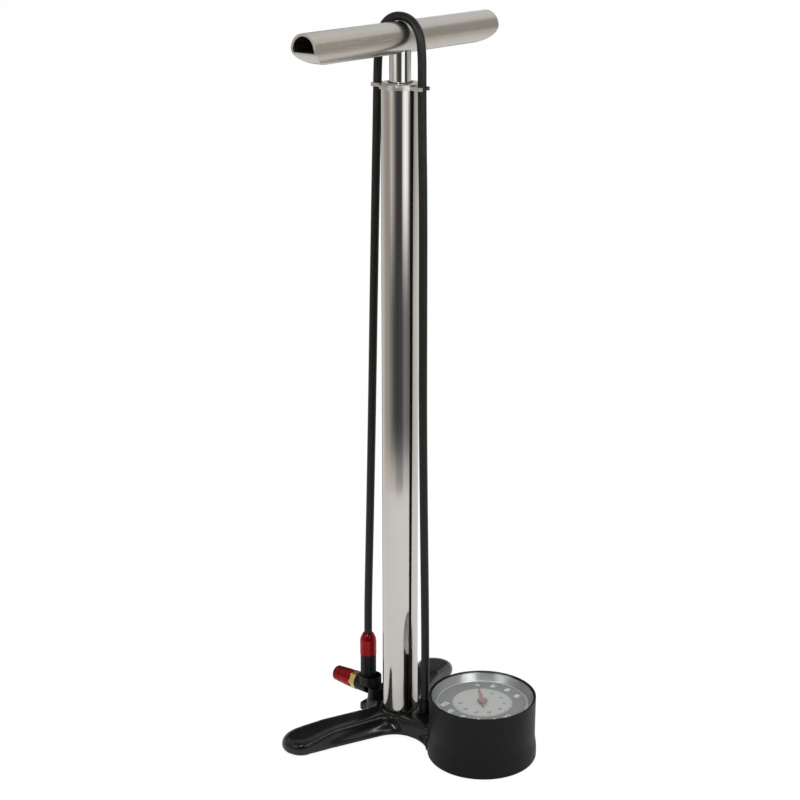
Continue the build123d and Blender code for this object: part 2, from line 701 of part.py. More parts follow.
def hose_port():
    port = Pos(0, PORT_Y, 0) * hexagon(PORT_HEX, HUB_TOP, HUB_TOP + PORT_HEX_T)
    port += rod(PORT_THREAD_R, HUB_TOP - PORT_THREAD + 1, HUB_TOP, 0, PORT_Y)
    port += rod(PORT_FERRULE_R, HUB_TOP + PORT_HEX_T, PORT_TOP, 0, PORT_Y)
    port -= rod(HOSE_R + SEAT, HUB_TOP + PORT_HEX_T, PORT_TOP + 1, 0, PORT_Y)
    return port - rod(AIR_BORE / 4, 0, PORT_TOP, 0, PORT_Y)


# ---- dock and chuck -----------------------------------------------------------------
def tongue(clear, z0, z1):
    """The chuck's T-shaped tongue, or with some clearance the dock's slot for it."""
    height = z1 - z0
    head = Box(TONGUE_W + 2 * clear, TONGUE_T + 2 * clear, height, align=FROM_Y)
    neck = Box(TONGUE_NECK + 2 * clear, CHUCK_Y - TONGUE_Y, height, align=FROM_Y)
    return Pos(0, TONGUE_Y - clear, z0) * head + Pos(0, TONGUE_Y, z0) * neck


def dock_post():
    post = rod(DOCK_R, HUB_TOP, DOCK_TOP, 0, DOCK_Y)
    post += rod(DOCK_SPIGOT_R, HUB_TOP - DOCK_SPIGOT + 1, HUB_TOP, 0, DOCK_Y)
    post -= tongue(FREE, TONGUE_Z - FREE, DOCK_TOP + 1)
    return post - rod(SCREW_R - 0.3, 0, TONGUE_Z - 1.2, 0, DOCK_Y)


def dock_screw():
    low = UNDERSIDE + 0.3
    screw = rod(SCREW_HEAD_R, low, UNDERSIDE + SCREW_HEAD_T, 0, DOCK_Y)
    screw += rod(SCREW_R, UNDERSIDE + SCREW_HEAD_T, HUB_TOP - DOCK_SPIGOT, 0, DOCK_Y)
    return screw + rod(SCREW_R - 0.35, HUB_TOP - DOCK_SPIGOT, TONGUE_Z - 1.5, 0, DOCK_Y)


def chuck_head():
    head = bar_y(CHUCK_BOSS_R, CHUCK_BACK_Y, CHUCK_FACE_Y, CHUCK_Z)
    near = CHUCK_Y - CHUCK_RING_REACH
    outer = hull((0, CHUCK_Y, CHUCK_RING_R), (0, near, CHUCK_RING_R))
    head += Pos(0, 0, CHUCK_RING_Z) * extrude(outer, CHUCK_TOP - CHUCK_RING_Z)
    head += tongue(0, TONGUE_Z, DOCK_TOP)
    play = SLEEVE_R + SLEEVE_PLAY
    head -= Pos(0, 0, SLEEVE_SEAT) * extrude(hull((0, CHUCK_Y, play), (0, near, play)), CHUCK_TOP)
    head -= bar_y(ADAPTER_SPIGOT_R + SEAT, CHUCK_FACE_Y - ADAPTER_SPIGOT, CHUCK_FACE_Y + 1, CHUCK_Z)
    head -= rod(AIR_BORE / 2, CHUCK_Z, CHUCK_TOP, 0, CHUCK_Y)
    return head - bar_y(AIR_BORE / 2, CHUCK_Y, CHUCK_FACE_Y, CHUCK_Z)


def hose_sleeve():
    sleeve = rod(SLEEVE_R, SLEEVE_SEAT, SLEEVE_TOP, 0, CHUCK_Y)
    return sleeve - rod(AIR_BORE / 2, SLEEVE_SEAT - 1, SLEEVE_TOP + 1, 0, CHUCK_Y)


def hose_collar():
    shoulder = COLLAR_TOP - COLLAR_SHOULDER
    outline = make_face(
        Polyline(
            (COLLAR_NECK_R, COLLAR_TOP),
            (0, COLLAR_TOP),
            (0, SLEEVE_TOP),
            (COLLAR_R, SLEEVE_TOP),
            (COLLAR_R, shoulder),
        )
        + Spline(
            (COLLAR_R, shoulder), (COLLAR_NECK_R, COLLAR_TOP), tangents=[(0, 1), (-1, 1.4)]
        )
    )
    collar = Pos(0, CHUCK_Y, 0) * revolve(Plane.XZ * outline, Axis.Z)
    return collar - rod(HOSE_R + FREE, SLEEVE_TOP - 1, COLLAR_TOP + 1, 0, CHUCK_Y)


def nozzle_adapter():
    hexa = Pos(0, CHUCK_FACE_Y, CHUCK_Z) * Rot(-90, 0, 0) * hexagon(HEX_AF, 0, HEX_T)
    adapter = hexa + bar_y(
        ADAPTER_SPIGOT_R, CHUCK_FACE_Y - ADAPTER_SPIGOT + SEAT, CHUCK_FACE_Y, CHUCK_Z
    )
    adapter += bar_y(ADAPTER_SPIGOT_R, CHUCK_FACE_Y + HEX_T, NOZZLE_Y + NOZZLE_SPIGOT, CHUCK_Z)
    return adapter - bar_y(AIR_BORE / 2, CHUCK_Y, NOZZLE_END, CHUCK_Z)


def nozzle_collar():
    waist = NOZZLE_LENGTH - NOZZLE_TAPER
    body = turned([
        (0, 0),
        (NOZZLE_R, 0),
        (NOZZLE_R, waist),
        (NOZZLE_TIP_R, NOZZLE_LENGTH),
        (0, NOZZLE_LENGTH),
    ])
    rims = body.edges().filter_by(GeomType.CIRCLE).sort_by(Axis.Z)
    body = fillet(rims[-1], NOZZLE_TIP_R - VALVE_SOCKET_R - 0.6)
    for share in NOZZLE_GROOVES:
        low = waist + share * NOZZLE_TAPER
        radius = NOZZLE_R - share * (NOZZLE_R - NOZZLE_TIP_R) - NOZZLE_GROOVE
        body -= ring(NOZZLE_R, radius, low, low + 2 * NOZZLE_GROOVE)
    body = Pos(0, NOZZLE_Y, CHUCK_Z) * Rot(-90, 0, 0) * body
    socket_y = NOZZLE_END - VALVE_SOCKET_DEPTH
    body -= bar_y(VALVE_SOCKET_R, socket_y, NOZZLE_END + 1, CHUCK_Z)
    body -= bar_y(ADAPTER_SPIGOT_R + RUN, NOZZLE_Y - 1, NOZZLE_Y + NOZZLE_SPIGOT + 1.0, CHUCK_Z)
    return body - bar_y(GLAND_R, socket_y - GLAND_T, socket_y, CHUCK_Z)


def nozzle_gland():
    socket_y = NOZZLE_END - VALVE_SOCKET_DEPTH
    gland = bar_y(GLAND_R - SEAT, socket_y - GLAND_T, socket_y, CHUCK_Z)
    return gland - bar_y(AIR_BORE / 2, socket_y - GLAND_T - 1, socket_y + 1, CHUCK_Z)


# ---- every node ---------------------------------------------------------------------
NODES = {
    "base_casting": base_casting,
    "foot_pad_left": lambda: foot_pad(FEET["left"]),
    "foot_pad_right": lambda: foot_pad(FEET["right"]),
    "gauge_foot": gauge_foot,
    "barrel_tube": barrel_tube,
    "barrel_gasket": barrel_gasket,
    "check_valve_body": check_valve_body,
    "check_valve_seat": check_valve_seat,
    "check_ball": check_ball,
    "check_spring": check_spring,
    "hose_hanger": hose_hanger,
    "top_cap": top_cap,
    "rod_bushing": rod_bushing,
    "rod_wiper": rod_wiper,
    "piston_head": piston_head,
    "piston_seal": piston_seal,
    "piston_bumper": piston_bumper,
    "piston_washer": piston_washer,
    "piston_bolt": piston_bolt,
    "rod_bottom_plug": rod_bottom_plug,
    "piston_rod": piston_rod,
    "rod_top_plug": rod_top_plug,
    "handle": handle,
    "gauge_cup": gauge_cup,
    "gauge_bezel": gauge_bezel,
    "gauge_lens": gauge_lens,
    "gauge_dial": gauge_dial,
    "gauge_socket": gauge_socket,
    "bourdon_tube": bourdon_tube,
    "gauge_movement": gauge_movement,
    "gauge_spindle": gauge_spindle,
    "gauge_needle": gauge_needle,
    "gauge_screws": gauge_screws,
    "hose": hose,
    "hose_port": hose_port,
    "dock_post": dock_post,
    "dock_screw": dock_screw,
    "chuck_head": chuck_head,
    "hose_sleeve": hose_sleeve,
    "hose_collar": hose_collar,
    "nozzle_adapter": nozzle_adapter,
    "nozzle_collar": nozzle_collar,
    "nozzle_gland": nozzle_gland,
}

os.makedirs("parts", exist_ok=True)
for name, make in NODES.items():
    export_step(make(), f"parts/{name}.step")
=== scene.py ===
"""Floor bike pump: the looks of a pump whose frame, bodies and joints are already built."""

import json
import math

import bmesh
import bpy
from bpy.props import (
    FloatProperty,
    FloatVectorProperty,
    IntProperty,
    PointerProperty,
)
from mathutils import Matrix, Vector


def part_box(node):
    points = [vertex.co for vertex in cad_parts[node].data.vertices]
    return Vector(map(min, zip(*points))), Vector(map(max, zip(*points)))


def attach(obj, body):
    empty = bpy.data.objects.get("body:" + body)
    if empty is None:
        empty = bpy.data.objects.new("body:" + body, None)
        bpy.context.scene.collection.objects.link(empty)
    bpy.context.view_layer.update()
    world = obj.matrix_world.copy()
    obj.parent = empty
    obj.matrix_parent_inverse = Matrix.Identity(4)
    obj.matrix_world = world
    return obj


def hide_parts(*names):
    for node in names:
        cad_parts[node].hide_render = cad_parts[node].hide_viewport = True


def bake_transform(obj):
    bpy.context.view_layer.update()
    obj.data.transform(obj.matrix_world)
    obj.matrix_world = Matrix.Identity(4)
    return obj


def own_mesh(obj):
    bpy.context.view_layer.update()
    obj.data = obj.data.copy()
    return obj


bl_info = {
    "name": "Floor bike pump",
    "version": (1, 0, 0),
    "blender": (4, 5, 0),
    "location": "View3D > Sidebar > Pump",
    "description": "Builds the visible pieces, finishes and studio of a floor bike pump",
    "category": "Add Mesh",
}

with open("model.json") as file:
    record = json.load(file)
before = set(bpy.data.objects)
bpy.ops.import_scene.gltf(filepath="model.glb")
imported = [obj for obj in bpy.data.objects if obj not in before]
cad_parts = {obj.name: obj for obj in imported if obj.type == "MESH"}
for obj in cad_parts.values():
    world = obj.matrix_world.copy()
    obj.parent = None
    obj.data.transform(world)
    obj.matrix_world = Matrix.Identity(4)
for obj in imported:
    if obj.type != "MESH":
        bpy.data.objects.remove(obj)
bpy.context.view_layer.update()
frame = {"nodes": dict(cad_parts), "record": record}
NODES = frame["nodes"]
MM = 0.001

# the hose's route in the plane x = 0, as (y, z) in metres, up the front and down the back
ROUTE = [
    (-0.0295, 0.020),
    (-0.0295, 0.062),
    (-0.0289, 0.122),
    (-0.0270, 0.212),
    (-0.0255, 0.303),
    (-0.0253, 0.395),
    (-0.0249, 0.487),
    (-0.0238, 0.540),
    (-0.0232, 0.585),
    (-0.0232, 0.611),
    (-0.0206, 0.6290),
    (-0.0092, 0.64025),
    (0.0090, 0.64025),
    (0.0208, 0.6290),
    (0.0240, 0.609),
    (0.0252, 0.560),
    (0.0274, 0.487),
    (0.0299, 0.395),
    (0.0322, 0.303),
    (0.0348, 0.212),
    (0.0375, 0.130),
    (0.0384, 0.095),
    (0.0384, 0.0709),
]

MERGE = 0.02 * MM           # points of the casting closer than this become one
SPRING_MERGE = 0.001 * MM   # the same for the valve's spring

# the casting's rounding fades out round the dock's lug, and its sides get more of it
LUG_FRONT, LUG_BACK = -4 * MM, 2 * MM       # from the dock's middle, along Y
LUG_INNER, LUG_OUTER = 10 * MM, 14 * MM     # from the plane x = 0
LUG_SHARP = 0.85                            # share of the rounding that the lug is spared
SIDE_FULL, SIDE_NONE = 6 * MM, 2 * MM       # below the casting's top

# the dial's print
PRINT = 0.04 * MM           # thickness of a layer of print
SPINDLE_HOLE = 3.0 * MM     # radius of the hole in the pale disc
RED_START, RED_END = 4, 6   # which outer numbers are red, counted from zero
INNER_STEP = 2              # step of the inner numbers
# the cap on the needle: radius and height of its corners in millimetres
BOSS_PROFILE = ((0.2, 0.0), (4.4, 0.0), (4.4, 0.4), (3.8, 0.9), (0.2, 1.1))

# finishes: the range of a noise's factor, the broad mottle and the least roughness
NOISE_LOW, NOISE_HIGH = 0.3, 0.7
MOTTLE_SCALE, MOTTLE_DETAIL = 38.0, 3.0
LEAST_ROUGH = 0.02

# the camera: its place, its direction in plan in degrees from +X, and degrees downwards
CAMERA_PLACE = (-1.1447, -0.9542, 0.7955)
VIEW_AZIMUTH = 39.82
VIEW_DOWN = 17.97
SENSOR = 36.0               # width of the camera's sensor in millimetres
LAMP_AIM = 0.25             # height that the lamps point at

# the floor: its own white, the glow that only the camera sees, and that glow's share
FLOOR_WHITE = 0.80
FLOOR_GLOW = 1.06
FLOOR_SEEN = 0.88

# the drum of cards: its faces, its foot, where it changes from near to far, and its lid
CARD_COLUMNS, CARD_ROWS = 180, 64
CARD_FOOT = 0.001
NEAR_END, FAR_START = 122.0, 138.0
LID_TONE = 0.5

# brightness of the cards by degrees to the camera's right, for each range of heights
ON_FLOOR = (
    (-180.0, 0.92), (-40.0, 0.85), (-14.0, 0.50), (8.0, 0.50), (28.0, 0.90), (180.0, 0.92),
)
HALFWAY = (
    (-180.0, 0.85), (-120.0, 0.75), (-96.0, 0.50), (-82.0, 0.50), (-67.0, 0.38),
    (-53.0, 0.24), (-38.0, 0.12), (-20.0, 0.07), (8.0, 0.09), (26.0, 0.25), (38.0, 0.28),
    (50.0, 0.20), (62.0, 0.24), (76.0, 0.45), (90.0, 0.74), (110.0, 0.86), (180.0, 0.85),
)
LEVEL = (
    (-180.0, 0.85), (-122.0, 0.68), (-98.0, 0.50), (-82.0, 0.44), (-68.0, 0.48),
    (-54.0, 0.85), (-40.0, 0.50), (-27.0, 0.14), (-14.0, 0.06), (8.0, 0.08), (20.0, 1.3),
    (32.0, 1.6), (44.0, 1.3), (56.0, 0.30), (74.0, 0.16), (92.0, 0.52), (112.0, 0.72),
    (180.0, 0.85),
)
ABOVE = (
    (-180.0, 0.85), (-122.0, 0.68), (-98.0, 0.45), (-78.0, 0.50), (-64.0, 1.2),
    (-48.0, 1.2), (-38.0, 0.40), (-30.0, 0.06), (10.0, 0.06), (20.0, 1.3), (52.0, 1.3),
    (62.0, 0.30), (85.0, 0.42), (114.0, 0.43), (132.0, 0.75), (180.0, 0.85),
)
OVERHEAD = (
    (-180.0, 0.72), (-160.0, 0.60), (-132.0, 0.30), (-95.0, 0.10), (60.0, 0.06),
    (88.0, 0.80), (150.0, 0.85), (180.0, 0.72),
)
# which of these holds from which height on
HEIGHTS = (
    (0.0, ON_FLOOR), (0.08, HALFWAY), (0.22, HALFWAY), (0.41, LEVEL), (0.47, LEVEL),
    (0.56, ABOVE), (0.92, ABOVE), (1.00, OVERHEAD), (9.0, OVERHEAD),
)
# dark cards: between two azimuths and two heights, and their brightness
DARK = (
    (-190.0, -124.0, 0.44, 0.76, 0.02), (124.0, 190.0, 0.44, 0.76, 0.02),
    (-190.0, -158.0, 0.07, 0.50, 0.10), (158.0, 190.0, 0.07, 0.50, 0.10),
    (-180.0, -144.0, 0.66, 1.02, 0.02),
)
DARK_EDGE, DARK_RIM = 8.0, 0.06     # their soft edges, in degrees and in metres
# bright spots: azimuth, height, half width in degrees, half height and brightness
SPOTS = ((-18.0, 0.76, 7.0, 0.07, 30.0), (66.0, 0.76, 6.0, 0.06, 18.0))
# how warm the cards are, and what a warm one loses of its green and of its blue
WARM = (
    (-180.0, 0.0), (-92.0, 1.0), (-41.0, 1.0), (-25.0, 0.0), (84.0, 0.0), (92.0, 1.0),
    (112.0, 1.0), (130.0, 0.0), (180.0, 0.0),
)
WARM_GREEN, WARM_BLUE = 0.05, 0.13


# ---- what a user would change ---------------------------------------------------------
def length(name, description, default):
    """A setting in metres."""
    return FloatProperty(
        name=name, description=description, default=default, min=0.0, precision=5,
        subtype="DISTANCE", unit="LENGTH",
    )


def angle(name, description, degrees):
    """A setting for an angle, given in degrees."""
    return FloatProperty(
        name=name, description=description, default=math.radians(degrees), subtype="ANGLE"
    )


def colour(name, description, default):
    """A setting for a colour."""
    return FloatVectorProperty(
        name=name, description=description, default=default, size=3, min=0.0, max=1.0,
        subtype="COLOR",
    )


def factor(name, description, default):
    """A setting between nought and one."""
    return FloatProperty(
        name=name, description=description, default=default, min=0.0, max=1.0,
        subtype="FACTOR",
    )


def whole(name, description, default, least=0):
    """A setting that is a whole number."""
    return IntProperty(name=name, description=description, default=default, min=least)


def amount(name, description, default, unit="NONE"):
    """A setting that is a plain number of at least nought."""
    return FloatProperty(name=name, description=description, default=default, min=0.0,
                         unit=unit)


class PumpBaseSettings(bpy.types.PropertyGroup):
    """Sizes and colour of the cast base."""

    voxel: length("Voxel", "Grain of the casting's rounded skin", 0.0011)
    rounding: whole("Rounding", "Smoothing passes", 48)
    sweep: whole("Sweep", "More smoothing passes on the sides", 60)
    swell: length("Swell", "What the smoothing takes off and this gives back", 0.0010)
    paint: colour("Paint", "Gloss paint on the casting", (0.0055, 0.0055, 0.0055))
    gloss: factor("Roughness", "Roughness of the paint", 0.19)


class PumpHoseSettings(bpy.types.PropertyGroup):
    """Sizes and colour of the hose."""

    diameter: length("Diameter", "Outside diameter of the hose", 0.0073)
    sides: whole("Sides", "Faces round the hose", 28, 8)
    rubber: colour("Rubber", "Colour of the hose", (0.0065, 0.0065, 0.0062))


class PumpMetalSettings(bpy.types.PropertyGroup):
    """Colours of the bright and the anodised metal."""

    polish: colour("Polish", "Polished barrel", (0.56, 0.540, 0.512))
    chrome: colour("Chrome", "Chromed rod", (0.66, 0.655, 0.64))
    handle: colour("Handle", "Polished aluminium handle", (0.54, 0.520, 0.485))
    anodised: colour("Anodised", "Red anodised pieces", (0.26, 0.0045, 0.008))
    brass: colour("Brass", "Brass pieces", (0.80, 0.60, 0.26))
    grain: factor("Grain", "Depth of the polishing lines", 0.05)


class PumpGaugeSettings(bpy.types.PropertyGroup):
    """Sizes and colours of the gauge's dial."""

    disc: length("Disc radius", "Radius of the pale inner disc", 0.0263)
    lip: length("Lip radius", "Radius of the bright lip inside the bezel", 0.0400)
    lip_size: length("Lip size", "Thickness of that lip", 0.0009)
    outer: length("Outer radius", "Radius of the outer numbers", 0.0334)
    inner: length("Inner radius", "Radius of the inner numbers", 0.0192)
    outer_size: length("Outer size", "Height of the outer numbers", 0.0060)
    inner_size: length("Inner size", "Height of the inner numbers", 0.0046)
    bold: length("Bold", "How much the strokes of the numbers are thickened", 0.00012)
    top: whole("Top", "Largest outer number", 220, 20)
    step: whole("Step", "Step of the outer numbers", 20, 5)
    inner_top: whole("Inner top", "Largest inner number", 16, 2)
    zero: angle("Zero", "Direction of zero from +X", 45.0)
    sweep: angle("Sweep", "Sweep of the scale", 270.0)
    ring: colour("Ring", "Grey outer ring", (0.175, 0.175, 0.168))
    pale: colour("Pale disc", "Pale inner disc", (0.48, 0.47, 0.45))
    ink: colour("Ink", "Dark print", (0.03, 0.03, 0.032))
    paint: colour("White print", "White print", (0.88, 0.90, 0.90))
    red: colour("Red", "Needle", (0.37, 0.12, 0.125))
    boss: colour("Boss", "Cap on the needle's spindle", (0.235, 0.150, 0.145))


class PumpStudioSettings(bpy.types.PropertyGroup):
    """The studio: floor, cards, lamps and camera."""

    floor: length("Floor", "Width of the floor", 26.0)
    near: length("Near cards", "Distance of the cards beside the camera", 0.62)
    far: length("Far cards", "Distance of the cards behind the pump", 1.10)
    tall: length("Card height", "Height of the cards", 1.90)
    fill: amount("Fill", "Light from all round", 0.62)
    key: amount("Key", "Power of the key lamp", 14.0, "POWER")
    side: amount("Side", "Power of the side lamp", 8.0, "POWER")
    overhead: amount("Overhead", "Power of the overhead lamp", 16.0, "POWER")
    lens: amount("Lens", "Focal length of the camera", 81.13, "CAMERA")


# ---- materials ------------------------------------------------------------------------
def new_material(name):
    """A fresh node material and its shader."""
    material = bpy.data.materials.new(name)
    material.use_nodes = True
    nodes = material.node_tree.nodes
    return material, nodes["Principled BSDF"]


def add(tree, kind, **sockets):
    """A node of that kind with its inputs set by name."""
    node = tree.nodes.new(kind)
    for socket, value in sockets.items():
        node.inputs[socket.replace("_", " ")].default_value = value
    return node


def noise(tree, stretch, scale, detail=4.0):
    """Noise on the object's own coordinates, stretched along an axis; gives its factor."""
    place = tree.nodes.new("ShaderNodeTexCoord")
    mapping = add(tree, "ShaderNodeMapping", Scale=stretch)
    texture = add(tree, "ShaderNodeTexNoise", Scale=scale, Detail=detail)
    tree.links.new(place.outputs["Object"], mapping.inputs["Vector"])
    tree.links.new(mapping.outputs["Vector"], texture.inputs["Vector"])
    return texture.outputs["Fac"]


def between(tree, value, low, high):
    """Maps a factor near one half onto the range low to high."""
    ramp = tree.nodes.new("ShaderNodeMapRange")
    for socket, number in (
        ("From Min", NOISE_LOW), ("From Max", NOISE_HIGH),
        ("To Min", low), ("To Max", high),
    ):
        ramp.inputs[socket].default_value = number
    tree.links.new(value, ramp.inputs["Value"])
    return ramp.outputs["Result"]


def tinted(tree, value, dark, light):
    """Mixes two colours by a factor near one half."""
    mix = tree.nodes.new("ShaderNodeMix")
    mix.data_type = "RGBA"
    mix.inputs["A"].default_value = (*dark, 1.0)
    mix.inputs["B"].default_value = (*light, 1.0)
    tree.links.new(between(tree, value, 0.0, 1.0), mix.inputs["Factor"])
    return mix.outputs["Result"]


def bump(tree, value, shader, strength, distance):
    """Adds a bump from a factor to the shader."""
    node = add(tree, "ShaderNodeBump", Strength=strength, Distance=distance)
    tree.links.new(value, node.inputs["Height"])
    tree.links.new(node.outputs["Normal"], shader.inputs["Normal"])


def shade(rgb, amount):
    """A colour made darker or lighter by a factor."""
    return tuple(min(1.0, channel * amount) for channel in rgb)


def finish(name, rgb, metal, rough, spread=0.03, stretch=(1, 1, 1), scale=900.0,
           strength=0.05, distance=0.00003, vary=0.06, **sockets):
    """A procedural finish: colour and roughness that vary a little, and a fine grain."""
    material, shader = new_material(name)
    tree = material.node_tree
    shader.inputs["Metallic"].default_value = metal
    for socket, value in sockets.items():
        shader.inputs[socket.replace("_", " ")].default_value = value
    broad = noise(tree, (1, 1, 1), MOTTLE_SCALE, MOTTLE_DETAIL)
    tree.links.new(
        tinted(tree, broad, shade(rgb, 1 - vary), shade(rgb, 1 + vary)),
        shader.inputs["Base Color"],
    )
    grain = noise(tree, stretch, scale)
    tree.links.new(
        between(tree, grain, max(rough - spread, LEAST_ROUGH), rough + spread),
        shader.inputs["Roughness"],
    )
    bump(tree, grain, shader, strength, distance)
    return material


def glass(name):
    """Clear flat glass over the dial."""
    material, shader = new_material(name)
    shader.inputs["Base Color"].default_value = (0.96, 0.98, 0.98, 1.0)
    shader.inputs["Roughness"].default_value = 0.04
    shader.inputs["IOR"].default_value = 1.45
    shader.inputs["Transmission Weight"].default_value = 1.0
    tree = material.node_tree
    ripple = noise(tree, (1, 1, 1), scale=60.0, detail=2.0)
    bump(tree, ripple, shader, strength=0.02, distance=0.00005)
    return material


def set_material(piece, material):
    """Makes a material the piece's only one."""
    piece.data.materials.clear()
    piece.data.materials.append(material)


# ---- meshes ---------------------------------------------------------------------------
def link(name, mesh):
    """A new piece of the pump from a mesh."""
    piece = bpy.data.objects.new(name, mesh)
    bpy.context.scene.collection.objects.link(piece)
    return piece


def evaluated(piece):
    """The plain mesh that a piece's modifiers or curve settings give."""
    bpy.context.view_layer.update()
    graph = bpy.context.evaluated_depsgraph_get()
    return bpy.data.meshes.new_from_object(piece.evaluated_get(graph))


def bake(piece):
    """Replaces a piece's mesh by what its modifiers give, and removes them."""
    mesh = evaluated(piece)
    piece.modifiers.clear()
    piece.data = mesh


def from_bmesh(name, bm, smooth=True):
    """A new piece from a bmesh, with its faces turned outwards."""
    bmesh.ops.recalc_face_normals(bm, faces=bm.faces)
    mesh = bpy.data.meshes.new(name)
    bm.to_mesh(mesh)
    bm.free()
    for face in mesh.polygons:
        face.use_smooth = smooth
    return link(name, mesh)


def lathe(name, profile, at, segments=128, smooth=False):
    """A closed solid of revolution about Z from (radius, height) corners."""
    bm = bmesh.new()
    rings = []
    for radius, height in profile:
        row = []
        for step in range(segments):
            turn = 2 * math.pi * step / segments
            row.append(bm.verts.new((
                at[0] + radius * math.cos(turn), at[1] + radius * math.sin(turn), height,
            )))
        rings.append(row)
    for lower, upper in zip(rings, rings[1:] + rings[:1]):
        for step in range(segments):
            after = (step + 1) % segments
            bm.faces.new((lower[step], lower[after], upper[after], upper[step]))
    return from_bmesh(name, bm, smooth)


def lettering(name, text, size, place, depth, bold):
    """A printed number as a thin mesh, read by a user who stands behind the barrel."""
    curve = bpy.data.curves.new(name, "FONT")
    curve.body = text
    curve.size = size
    curve.align_x = "CENTER"
    curve.align_y = "CENTER"
    curve.extrude = depth
    curve.offset = bold
    curve.resolution_u = 3
    source = bpy.data.objects.new(name, curve)
    bpy.context.scene.collection.objects.link(source)
    mesh = evaluated(source)
    bpy.data.objects.remove(source)
    mesh.transform(Matrix.Translation(place) @ Matrix.Rotation(math.pi, 4, "Z"))
    return mesh


def joined(name, meshes):
    """One piece from several meshes."""
    bm = bmesh.new()
    for mesh in meshes:
        bm.from_mesh(mesh)
        bpy.data.meshes.remove(mesh)
    return from_bmesh(name, bm, smooth=False)


# ---- geometry nodes -------------------------------------------------------------------
def tick_tree():
    """Bars set round an arc: the marks of a dial."""
    tree = bpy.data.node_groups.new("dial marks", "GeometryNodeTree")
    sockets = (
        ("Count", "NodeSocketInt", 2), ("Radius", "NodeSocketFloat", 0.03),
        ("Length", "NodeSocketFloat", 0.002), ("Width", "NodeSocketFloat", 0.0004),
        ("Depth", "NodeSocketFloat", 0.0001), ("Start", "NodeSocketFloat", 0.0),
        ("Sweep", "NodeSocketFloat", -1.0), ("Height", "NodeSocketFloat", 0.0),
        ("Across", "NodeSocketFloat", 0.0), ("Ink", "NodeSocketMaterial", None),
    )
    for name, kind, default in sockets:
        socket = tree.interface.new_socket(name, in_out="INPUT", socket_type=kind)
        if default is not None:
            socket.default_value = default
    tree.interface.new_socket("Geometry", in_out="OUTPUT", socket_type="NodeSocketGeometry")
    new, join = tree.nodes.new, tree.links.new
    given = new("NodeGroupInput").outputs
    line = new("GeometryNodeMeshLine")
    join(given["Count"], line.inputs["Count"])

    def maths(operation, first, second):
        """A maths node on two sockets or numbers; gives its result."""
        node = new("ShaderNodeMath")
        node.operation = operation
        for socket, value in zip(node.inputs, (first, second)):
            if isinstance(value, (int, float)):
                socket.default_value = value
            elif value is not None:
                join(value, socket)
        return node.outputs[0]

    share = maths("DIVIDE", new("GeometryNodeInputIndex").outputs[0],
                  maths("SUBTRACT", given["Count"], 1.0))
    turn = maths("ADD", given["Start"], maths("MULTIPLY", share, given["Sweep"]))
    place = new("ShaderNodeCombineXYZ")
    join(maths("MULTIPLY", maths("COSINE", turn, None), given["Radius"]), place.inputs["X"])
    across = maths("MULTIPLY", maths("SINE", turn, None), given["Radius"])
    join(maths("ADD", across, given["Across"]), place.inputs["Y"])
    join(given["Height"], place.inputs["Z"])
    spread = new("GeometryNodeSetPosition")
    join(line.outputs["Mesh"], spread.inputs["Geometry"])
    join(place.outputs[0], spread.inputs["Position"])
    size = new("ShaderNodeCombineXYZ")
    for axis, socket in zip("XYZ", ("Length", "Width", "Depth")):
        join(given[socket], size.inputs[axis])
    bar = new("GeometryNodeMeshCube")
    join(size.outputs[0], bar.inputs["Size"])
    spin = new("ShaderNodeCombineXYZ")
    join(turn, spin.inputs["Z"])
    copies = new("GeometryNodeInstanceOnPoints")
    join(spread.outputs["Geometry"], copies.inputs["Points"])
    join(bar.outputs["Mesh"], copies.inputs["Instance"])
    join(spin.outputs[0], copies.inputs["Rotation"])
    real = new("GeometryNodeRealizeInstances")
    inked = new("GeometryNodeSetMaterial")
    join(copies.outputs[0], real.inputs[0])
    join(real.outputs[0], inked.inputs["Geometry"])
    join(given["Ink"], inked.inputs["Material"])
    join(inked.outputs[0], new("NodeGroupOutput").inputs["Geometry"])
    return tree


def ticks(name, tree, material, **values):
    """One set of dial marks as a plain mesh."""
    piece = link(name, bpy.data.meshes.new(name))
    modifier = piece.modifiers.new("marks", "NODES")
    modifier.node_group = tree
    values["Ink"] = material
    for socket in tree.interface.items_tree:
        if socket.in_out == "INPUT" and socket.name in values:
            modifier[socket.identifier] = values[socket.name]
    bake(piece)
    set_material(piece, material)
    return piece


# ---- the cards' tones -----------------------------------------------------------------
def ease(value, low, high):
    """Rises smoothly from 0 at low to 1 at high."""
    share = min(max((value - low) / (high - low), 0.0), 1.0)
    return share * share * (3.0 - 2.0 * share)


def band(value, low, high, soft):
    """One between low and high, falling to nought over a soft edge inside them."""
    return ease(value, low, low + soft) * (1.0 - ease(value, high - soft, high))


def along(profile, azimuth):
    """A profile's value at an azimuth, smooth between its entries."""
    for (start, before), (end, after) in zip(profile, profile[1:]):
        if start <= azimuth <= end:
            return before + (after - before) * ease(azimuth, start, end)
    return profile[-1][1]


def card_tone(azimuth, height):
    """Colour of a card at a heading and a height."""
    level = along(ON_FLOOR, azimuth)
    for (low, before), (high, after) in zip(HEIGHTS, HEIGHTS[1:]):
        if low <= height < high:
            level = along(before, azimuth)
            level += (along(after, azimuth) - level) * ease(height, low, high)
    for start, end, low, high, dark in DARK:
        inside = band(azimuth, start, end, DARK_EDGE) * band(height, low, high, DARK_RIM)
        level += (dark - level) * inside
    for middle, centre, wide, tall, bright in SPOTS:
        beside = abs(azimuth - middle) / wide
        over = abs(height - centre) / tall
        level += bright * (1.0 - ease(max(beside, over), 0.5, 1.0))
    warm = along(WARM, azimuth)
    return (level, level * (1.0 - WARM_GREEN * warm), level * (1.0 - WARM_BLUE * warm))


